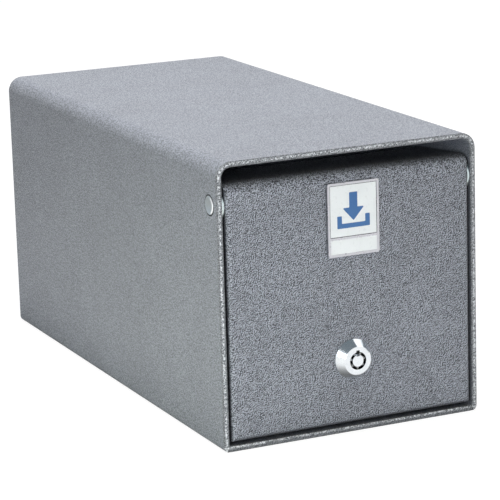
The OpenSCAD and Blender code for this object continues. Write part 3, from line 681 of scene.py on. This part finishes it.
def blue_print():
    """Screen print: blue that gets paler towards its foot, with a faint mesh in the ink."""
    material, tree, shader, place = new_material("blue_print")
    fade = remap(tree, along(tree, place, "Z"), *PRINT_FADE)
    ink = noise(tree, place, PRINT_MESH, 1.0)
    colour = blend_colours(tree, fade, *BLUE_TONES)
    colour = blend_colours(tree, remap(tree, ink, *MESH_SPAN, 0.0, SPECK_SHARE), colour, BLUE_SPECK)
    shader.inputs["Coat Weight"].default_value = 0.4
    shader.inputs["Coat Roughness"].default_value = 0.1
    connect(tree, shader, colour=colour, rough=levels(tree, ink, 0.3, 0.45),
            normal=bump(tree, ink, 0.004 * MM))
    return material


def foam():
    """Black foam with open pores."""
    material, tree, shader, place = new_material("foam_tape")
    pores = add(tree, "ShaderNodeTexVoronoi", {"Vector": place, "Scale": FOAM_PORES}).outputs["Distance"]
    colour = blend_colours(tree, remap(tree, pores, *PORE_SPAN), *FOAM_TONES)
    connect(tree, shader, colour=colour, rough=remap(tree, pores, 0.0, PORE_SPAN[1], 0.95, 0.75),
            normal=bump(tree, pores, 0.1 * MM))
    return material


def painted_joint_shadow():
    """Dull, near black ring of painted shadow round a pin end."""
    material, tree, shader, place = new_material("painted_joint_shadow")
    specks = noise(tree, place, JOINT_SHADOW_SPECKS, 3.0)
    colour = blend_colours(tree, remap(tree, specks, *JOINT_SHADOW_SPAN), *JOINT_SHADOW_TONES)
    connect(tree, shader, colour=colour, rough=levels(tree, specks, 0.95, 0.80),
            normal=bump(tree, specks, 0.03 * MM))
    return material


def mesh_group(name):
    """An empty group of geometry nodes, with its input socket and its end node."""
    tree = bpy.data.node_groups.new(name, "GeometryNodeTree")
    tree.interface.new_socket("Geometry", in_out="INPUT", socket_type="NodeSocketGeometry")
    tree.interface.new_socket("Geometry", in_out="OUTPUT", socket_type="NodeSocketGeometry")
    return tree, tree.nodes.new("NodeGroupInput").outputs[0], tree.nodes.new("NodeGroupOutput")


def edge_group():
    """Geometry nodes: joins the split faces of a CAD mesh and marks its sharp edges for the bevel."""
    tree, start, end = mesh_group("edge_marks")
    joined = add(tree, "GeometryNodeMergeByDistance", {"Geometry": start, "Distance": WELD_REACH})
    bare = add(tree, "GeometryNodeRemoveAttribute",
               {"Geometry": joined.outputs[0], "Name": "custom_normal"})
    angle = add(tree, "GeometryNodeInputMeshEdgeAngle").outputs[0]
    sharp = maths(tree, "GREATER_THAN", angle, math.radians(SHARP_ANGLE))
    marked = add(tree, "GeometryNodeStoreNamedAttribute",
                 {"Geometry": bare.outputs[0], "Name": "bevel_weight_edge"},
                 data_type="FLOAT", domain="EDGE")
    tree.links.new(sharp, [s for s in marked.inputs if s.name == "Value" and s.enabled][0])
    tree.links.new(marked.outputs[0], end.inputs[0])
    return tree


def smooth_group(degrees):
    """Geometry nodes: smooth faces that stay crisp at edges above the given angle."""
    tree, start, end = mesh_group(f"smooth_to_{degrees}")
    faces = add(tree, "GeometryNodeSetShadeSmooth", {"Geometry": start, "Shade Smooth": True},
                domain="FACE")
    angle = add(tree, "GeometryNodeInputMeshEdgeAngle").outputs[0]
    soft = maths(tree, "LESS_THAN", angle, math.radians(degrees))
    edges = add(tree, "GeometryNodeSetShadeSmooth", {"Geometry": faces.outputs[0], "Shade Smooth": soft},
                domain="EDGE")
    tree.links.new(edges.outputs[0], end.inputs[0])
    return tree


def soften(piece, width, smoothing):
    """Rounds the sharp edges of a CAD node with modifiers; its own mesh stays as it is."""
    joined = piece.modifiers.new("joined", "NODES")
    joined.node_group = EDGE_MARKS
    if width > 0:
        bevel = piece.modifiers.new("edge_bevel", "BEVEL")
        bevel.limit_method = "WEIGHT"
        bevel.width = width
        bevel.segments = BEVEL_SEGMENTS
        bevel.use_clamp_overlap = False
        bevel.loop_slide = False
    smooth = piece.modifiers.new("smooth", "NODES")
    smooth.node_group = smoothing
    flats = piece.modifiers.new("flat_faces_lead", "WEIGHTED_NORMAL")
    flats.keep_sharp = True
    flats.weight = FLAT_FACE_WEIGHT


def paint(node, material):
    """Gives a CAD node its one material."""
    piece = NODES[node]
    piece.data.materials.clear()
    piece.data.materials.append(material)


def new_piece(name, body, material, verts, faces, smooth=True):
    """A mesh piece with one material that rides on a body."""
    mesh = bpy.data.meshes.new(name)
    mesh.from_pydata([tuple(v) for v in verts], [], faces)
    bm = bmesh.new()
    bm.from_mesh(mesh)
    bmesh.ops.recalc_face_normals(bm, faces=bm.faces)
    bm.to_mesh(mesh)
    bm.free()
    for polygon in mesh.polygons:
        polygon.use_smooth = smooth
    mesh.materials.append(material)
    piece = bpy.data.objects.new(name, mesh)
    bpy.context.scene.collection.objects.link(piece)
    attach(piece, body)


def make_camera():
    """The camera that the photograph was taken with."""
    azimuth = math.radians(CAMERA_AZIMUTH)
    elevation = math.radians(CAMERA_ELEVATION)
    roll = math.radians(CAMERA_ROLL)
    back = Vector((-math.sin(azimuth) * math.cos(elevation),
                   -math.cos(azimuth) * math.cos(elevation),
                   math.sin(elevation)))
    right = (-back).cross(Vector((0, 0, 1))).normalized()
    up = right.cross(-back)
    across = math.cos(roll) * right + math.sin(roll) * up
    upright = math.cos(roll) * up - math.sin(roll) * right
    data = bpy.data.cameras.new("photo_camera")
    data.lens = CAMERA_LENS
    data.sensor_width = SENSOR
    data.clip_end = FAR_CLIP
    camera = bpy.data.objects.new("photo_camera", data)
    camera.matrix_world = Matrix.Translation(CAMERA_AIM + CAMERA_DISTANCE * back) @ Matrix(
        (across, upright, back)).transposed().to_4x4()
    bpy.context.scene.collection.objects.link(camera)
    bpy.context.scene.camera = camera


def seen_white(tree):
    """One for rays that show the backdrop itself: camera, glossy and transmission rays."""
    ray = add(tree, "ShaderNodeLightPath").outputs
    seen = maths(tree, "ADD", ray["Is Camera Ray"], ray["Is Glossy Ray"])
    return maths(tree, "ADD", seen, ray["Is Transmission Ray"], clamp=True)


def mirrored_sky(tree):
    """What mirrors see of the world, and where it is dark.

    It is white low down, behind and in a box high up on the right, and dark overhead in front.
    """
    direction = add(tree, "ShaderNodeTexCoord").outputs["Generated"]
    parts = add(tree, "ShaderNodeSeparateXYZ", {"Vector": direction}).outputs
    overhead = remap(tree, parts["Z"], WHITE_UP_TO - SHARP_EDGE, WHITE_UP_TO + SHARP_EDGE)
    leftward = remap(tree, parts["X"], RIGHT_BOX_FROM + SHARP_EDGE, RIGHT_BOX_FROM - SHARP_EDGE)
    sideways = remap(tree, parts["X"], RIGHT_BOX_TO, RIGHT_BOX_TO + RIGHT_EDGE)
    forward = remap(tree, parts["Y"], BACK_WALL_FROM, BACK_WALL_FROM - BACK_EDGE)
    above = maths(tree, "MULTIPLY", overhead, leftward)
    dark = maths(tree, "MULTIPLY", maths(tree, "MAXIMUM", above, sideways), forward)
    box = maths(tree, "MULTIPLY", overhead, maths(tree, "SUBTRACT", 1.0, leftward))
    bright = remap(tree, maths(tree, "MULTIPLY", box, forward), 0.0, 1.0, WORLD_WHITE, RIGHT_BOX_WHITE)
    white_part = maths(tree, "MULTIPLY", maths(tree, "SUBTRACT", 1.0, dark), bright)
    return maths(tree, "ADD", white_part, maths(tree, "MULTIPLY", dark, CEILING_GREY)), dark


def make_world():
    """White where the camera looks, a patterned studio where mirrors look, and a weak fill elsewhere."""
    world = bpy.data.worlds.new("studio")
    bpy.context.scene.world = world
    world.use_nodes = True
    tree = world.node_tree
    tree.nodes.clear()
    reflected, dark = mirrored_sky(tree)
    ray = add(tree, "ShaderNodeLightPath").outputs
    glossy = maths(tree, "ADD", ray["Is Glossy Ray"], ray["Is Transmission Ray"], clamp=True)
    level = maths(tree, "MULTIPLY", glossy, reflected)
    level = maths(tree, "ADD", level, maths(tree, "MULTIPLY", ray["Is Camera Ray"], WORLD_WHITE))
    unseen = maths(tree, "SUBTRACT", 1.0, seen_white(tree))
    level = maths(tree, "ADD", level, maths(tree, "MULTIPLY", unseen, WORLD_FILL))
    tint = blend_colours(tree, maths(tree, "MULTIPLY", dark, glossy), (1.0, 1.0, 1.0), CEILING_TINT)
    sky = add(tree, "ShaderNodeBackground", {"Color": tint, "Strength": level})
    add(tree, "ShaderNodeOutputWorld", {"Surface": sky.outputs[0]})


def floor_glow(tree, place, outside, away):
    """How white the floor glows: plain to the camera, and to mirrors with a painted shadow in front of the
    door.
    """
    depth = along(tree, place, "Y")
    behind = remap(tree, depth, *BEHIND_DEPTH)
    far = maths(tree, "MULTIPLY", behind, remap(tree, away, *FAR_REACH, 0.0, FAR_DIM, smooth=True))
    front = CAD_BOX[0][1]
    # Painted shadow that mirrors see in front of the door
    shaded = remap(tree, depth, front - SHADE_REACH[0], front - SHADE_REACH[1], *SHADE_LEVELS)
    beside = remap(tree, along(tree, outside, "X"), 0.0, SHADE_SIDE, 0.0, SHADE_LEVELS[0])
    shaded = maths(tree, "MAXIMUM", shaded, beside)
    open_floor = remap(tree, away, *OPEN_REACH, *OPEN_LEVELS)
    mirrored = maths(tree, "MINIMUM", maths(tree, "SUBTRACT", open_floor, far), shaded)
    direct = add(tree, "ShaderNodeLightPath").outputs["Is Camera Ray"]
    plain = remap(tree, away, *PLAIN_REACH, *PLAIN_LEVELS)
    return maths(tree, "MAXIMUM", mirrored, maths(tree, "MULTIPLY", direct, plain))


def make_floor():
    """Pale floor that shows white with a faint shadow, painted paler near the safe as a pool of light that
    it throws back up.
    """
    mesh = bpy.data.meshes.new("floor")
    corners = [(-FLOOR_HALF, -FLOOR_HALF, 0), (FLOOR_HALF, -FLOOR_HALF, 0),
               (FLOOR_HALF, FLOOR_HALF, 0), (-FLOOR_HALF, FLOOR_HALF, 0)]
    mesh.from_pydata(corners, [], [(0, 1, 2, 3)])
    floor = bpy.data.objects.new("floor", mesh)
    floor.location.z = -FLOOR_DROP
    bpy.context.scene.collection.objects.link(floor)
    material = bpy.data.materials.new("pale_floor")
    material.use_nodes = True
    tree = material.node_tree
    tree.nodes.clear()
    place = add(tree, "ShaderNodeTexCoord").outputs["Object"]
    footprint = (CAD_BOX[1][0], CAD_BOX[1][1], 0.0)
    beside = vectors(tree, "SUBTRACT", vectors(tree, "ABSOLUTE", place), footprint)
    outside = vectors(tree, "MAXIMUM", beside)
    away = vectors(tree, "LENGTH", outside)
    # Pool of light painted into the floor's colour near the safe
    near = remap(tree, away, *BOUNCE_REACH, *BOUNCE_LEVELS, smooth=True)
    bounce = add(tree, "ShaderNodeBsdfDiffuse", {"Color": grey(tree, near)})
    shadow = add(tree, "ShaderNodeBsdfDiffuse", {"Color": (SHADOW_SHARE, SHADOW_SHARE, SHADOW_SHARE, 1.0)})
    glow = add(tree, "ShaderNodeEmission", {"Strength": floor_glow(tree, place, outside, away)})
    shown = add(tree, "ShaderNodeAddShader", {0: shadow.outputs[0], 1: glow.outputs[0]})
    choices = {0: seen_white(tree), 1: bounce.outputs[0], 2: shown.outputs[0]}
    mixed = add(tree, "ShaderNodeMixShader", choices)
    add(tree, "ShaderNodeOutputMaterial", {"Surface": mixed.outputs[0]})
    mesh.materials.append(material)


def make_lamps():
    """Area lamps of the studio, none of which the camera sees."""
    for name, place, target, size, power, colour, mirrored in LAMPS:
        lamp = bpy.data.lights.new(name, "AREA")
        lamp.shape = "RECTANGLE"
        lamp.size = size[0]
        lamp.size_y = size[1]
        lamp.energy = power
        lamp.color = colour
        holder = bpy.data.objects.new(name, lamp)
        holder.location = place
        holder.rotation_euler = (Vector(target) - Vector(place)).to_track_quat("-Z", "Y").to_euler()
        holder.visible_camera = False
        holder.visible_glossy = mirrored
        bpy.context.scene.collection.objects.link(holder)


def dress_nodes():
    """Gives each CAD node its material and its edges."""
    # Tumbler pins' zinc is painted darker as shade deep in the keyway
    shaded_tumbler_finish = zinc("tumblers_painted_shade", TUMBLER_SHADED_ZINC, 0.34)
    finishes = {
        "painted_steel": hammertone("hammertone_body", BODY_PEBBLE, BODY_RELIEF, BODY_CONTRAST,
                                    rim_y=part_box("body_wrap")[0].y + RIM_DEPTH),
        "painted_door": hammertone("hammertone_door", DOOR_PEBBLE, DOOR_RELIEF, 1.0),
        "zinc_steel": zinc(),
        "spring_steel": black_oxide(),
        "lock_chrome": chrome(),
        "lock_brass": brass(),
        "badge_metal": aluminium(),
        "badge_white": white_gloss(),
        "foam_tape": foam(),
    }
    for row in frame["record"]["subparts"]:
        node = row["node"]
        paint(node, shaded_tumbler_finish if node == "tumbler_pins" else finishes[row["material_slot"]])
        smoothing = SMOOTH_TO_20 if node in CRISP_NODES else SMOOTH_TO_35
        soften(NODES[node], EDGE_WIDTHS[node] * MM, smoothing)
    return finishes


def rounded_outline(points, radius):
    """Rounds each convex corner of a closed outline."""
    made = []
    count = len(points)
    for i in range(count):
        before, here, after = (Vector(points[(i + k) % count]) for k in (-1, 0, 1))
        to_before = (before - here).normalized()
        to_after = (after - here).normalized()
        turn = to_before.angle(to_after)
        shorter = min((before - here).length, (after - here).length)
        reach = min(radius / math.tan(turn / 2), CORNER_SHARE * shorter)
        a = here + to_before * reach
        b = here + to_after * reach
        for k in range(CORNER_STEPS + 1):
            t = k / CORNER_STEPS
            made.append((1 - t) ** 2 * a + 2 * t * (1 - t) * here + t ** 2 * b)
    return made


def flat_plate(name, outline, y_back, thickness, material):
    """A thin plate on the badge, in the X-Z plane, with its outline in metres."""
    count = len(outline)
    verts = [(p[0], y_back - thickness, p[1]) for p in outline] + [(p[0], y_back, p[1]) for p in outline]
    faces = [list(range(count)), list(range(2 * count - 1, count - 1, -1))]
    faces += [[i, (i + 1) % count, count + (i + 1) % count, count + i] for i in range(count)]
    new_piece(name, "door", material, verts, faces, smooth=False)


def badge_symbol():
    """Generic drop symbol on the white panel: an arrow that points into a tray."""
    low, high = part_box("badge_panel")
    middle = (low.x + high.x) / 2
    unit = (high.x - low.x) / SYMBOL_GRID
    base = low.z + SYMBOL_FOOT * unit
    ink = blue_print()
    for name, points in (("symbol_arrow", SYMBOL_ARROW), ("symbol_tray", SYMBOL_TRAY)):
        placed = [(middle + x * unit, base + z * unit) for x, z in points]
        outline = rounded_outline(placed, SYMBOL_CORNER * unit)
        flat_plate(name, outline, low.y, PRINT_THICKNESS, ink)


def rectangle_ring(low, high, width):
    """Corners of a rectangle and of a wider one round it, as X and Z in metres."""
    inner = [(low.x, low.z), (high.x, low.z), (high.x, high.z), (low.x, high.z)]
    signs = [(-1, -1), (1, -1), (1, 1), (-1, 1)]
    outer = [(x + width * sx, z + width * sz) for (x, z), (sx, sz) in zip(inner, signs)]
    return inner, outer


def panel_gap_shade():
    """Dark sheet of painted shade in the gap between the white panel and its frame."""
    low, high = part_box("badge_panel")
    rings = rectangle_ring(low, high, PANEL_GAP)
    verts = [(x, y, z) for ring in rings for y in (low.y + GAP_SHADE_INSET, high.y) for x, z in ring]
    faces = []
    for a, b in ((0, 4), (4, 12), (12, 8), (8, 0)):
        faces += [[a + k, a + (k + 1) % 4, b + (k + 1) % 4, b + k] for k in range(4)]
    new_piece("panel_gap_shade", "door", FINISHES["foam_tape"], verts, faces, smooth=False)


def strip_enamel():
    """White enamel in the badge's lower recess, left bare of print."""
    frame_low, frame_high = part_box("badge_frame")
    low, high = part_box("badge_panel")
    border = frame_high.z - high.z
    corners = [(low.x, frame_low.z + border), (high.x, frame_low.z + border),
               (high.x, low.z - border), (low.x, low.z - border)]
    outline = rounded_outline(corners, ENAMEL_CORNER)
    back = frame_low.y + ENAMEL_BACK
    flat_plate("strip_enamel", outline, back, ENAMEL_THICKNESS, FINISHES["badge_white"])


def lathed(profile, centre, side):
    """Turned solid about the X axis, from radius and rise above the wall; its last point is on the axis."""
    verts = []
    for reach, rise in profile[:-1]:
        for i in range(LATHE_STEPS):
            angle = 2 * math.pi * i / LATHE_STEPS
            verts.append((centre[0] + side * rise, centre[1] + reach * math.cos(angle),
                          centre[2] + reach * math.sin(angle)))
    faces = []
    for k in range(len(profile) - 2):
        for i in range(LATHE_STEPS):
            j = (i + 1) % LATHE_STEPS
            here = k * LATHE_STEPS
            above = here + LATHE_STEPS
            faces.append([here + i, here + j, above + j, above + i])
    last = (len(profile) - 2) * LATHE_STEPS
    verts.append((centre[0] + side * profile[-1][1], centre[1], centre[2]))
    faces += [[last + i, last + (i + 1) % LATHE_STEPS, len(verts) - 1] for i in range(LATHE_STEPS)]
    faces.append(list(range(LATHE_STEPS - 1, -1, -1)))
    return verts, faces


def pin_place(low, high):
    """Radius of a hinge pin's end, and its axis in Y and Z, from the corners of its box."""
    return 0.5 * (high.z - low.z), 0.5 * (low.y + high.y), 0.5 * (low.z + high.z)


def pin_rim_highlight(tree, place):
    """One on the front of the hinge pins' rims, where a highlight is painted."""
    radius, axis_y, axis_z = pin_place(*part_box("pivot_pin_left"))
    reach = distance_from_axis(tree, place, (0.0, 1.0, 1.0), (0.0, axis_y, axis_z))
    start, full = (axis_y - share * radius for share in RIM_HIGHLIGHT_SIDE)
    front_side = remap(tree, along(tree, place, "Y"), start, full)
    rim = remap(tree, reach, radius - RIM_HIGHLIGHT_REACH[0], radius - RIM_HIGHLIGHT_REACH[1])
    return maths(tree, "MULTIPLY", front_side, rim)


def pin_ends():
    """Peened ends of the hinge pins, a little proud of the walls, each in a dark ring of painted shadow."""
    finish = zinc("peened_zinc", PEENED_ZINC, 0.34, highlight_mask=pin_rim_highlight)
    joint_shadow = painted_joint_shadow()
    for name, side in (("left", -1), ("right", 1)):
        radius, axis_y, axis_z = pin_place(*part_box(f"pivot_pin_{name}"))
        centre = (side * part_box("body_wrap")[1].x, axis_y, axis_z)
        for piece, slot, material, steps, top in (
                ("pin_end", "zinc_steel", finish, PIN_END, PIN_END_TOP),
                ("pin_joint_shadow", "painted_steel", joint_shadow, PIN_JOINT_SHADOW, PIN_JOINT_SHADOW_TOP)):
            profile = [(radius + out * MM, rise * MM) for out, rise in steps] + [(0.0, top * MM)]
            verts, faces = lathed(profile, centre, side)
            new_piece(f"{piece}_{name}", "housing", material, verts, faces)


EDGE_MARKS = edge_group()
SMOOTH_TO_35 = smooth_group(35)
SMOOTH_TO_20 = smooth_group(20)
make_camera()
make_world()
make_floor()
make_lamps()
FINISHES = dress_nodes()
badge_symbol()
panel_gap_shade()
strip_enamel()
pin_ends()

bpy.context.scene.view_settings.view_transform = "Standard"
